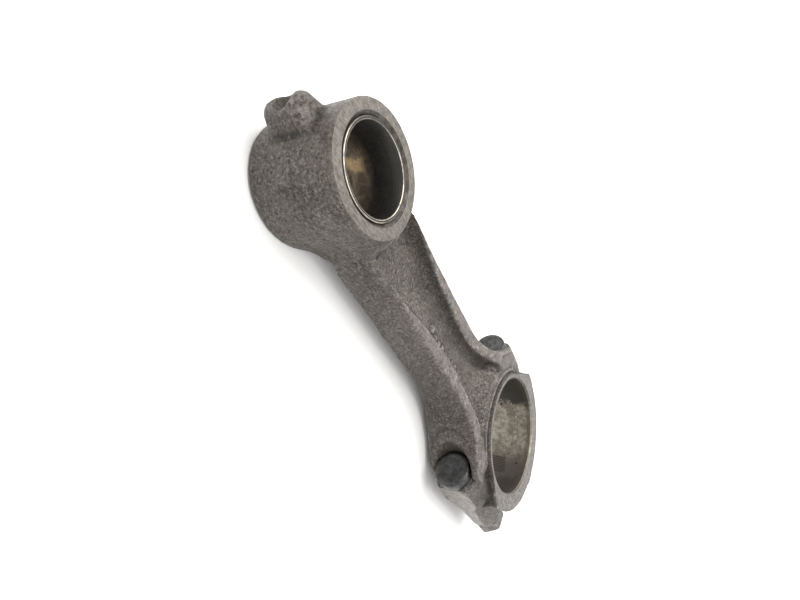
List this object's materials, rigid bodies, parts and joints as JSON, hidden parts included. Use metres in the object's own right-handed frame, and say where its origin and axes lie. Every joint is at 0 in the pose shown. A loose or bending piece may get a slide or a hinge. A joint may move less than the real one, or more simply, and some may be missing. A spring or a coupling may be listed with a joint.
{
  "type": "connecting rod",
  "caption": "Forged I-section connecting rod with a bushed small end and a bolted, straight-split big end that opens.",
  "frame": {"origin": "centre of the big-end bore, at mid width, on the parting face", "axes": "+X from the big end to the small end, +Z along both bores, +Y towards the left bolt"},
  "size_m": [0.2957, 0.105, 0.041],
  "materials": {
    "forged_steel": "dark oiled forging with machined faces",
    "bush_bronze": "worn, oil-stained bronze",
    "bolt_steel": "dark oiled steel",
    "nut_steel": "worn steel"
  },
  "bodies": {
    "rod": {"rod_body": "forged_steel", "small_end_bush": "bush_bronze", "bolt_left": "bolt_steel", "bolt_right": "bolt_steel"},
    "cap": {"rod_cap": "forged_steel"},
    "left_nut": {"nut_left": "nut_steel"},
    "right_nut": {"nut_right": "nut_steel"}
  },
  "joints": [
    {"name": "cap_slide", "type": "slide", "parent": "rod", "child": "cap", "axis": [-1, 0, 0], "range_m": [0, 0.01]},
    {"name": "nut_left_turn", "type": "hinge", "parent": "cap", "child": "left_nut", "pos_m": [-0.0295, 0.0425, 0], "axis": [-1, 0, 0], "range_deg": [0, 2880]},
    {"name": "nut_right_turn", "type": "hinge", "parent": "cap", "child": "right_nut", "pos_m": [-0.0295, -0.0425, 0], "axis": [-1, 0, 0], "range_deg": [0, 2880]}
  ],
  "couplings": [
    {"joint": "nut_left_turn", "follows": "cap_slide", "rad_per_m": 5026.5},
    {"joint": "nut_right_turn", "follows": "cap_slide", "rad_per_m": 5026.5}
  ]
}
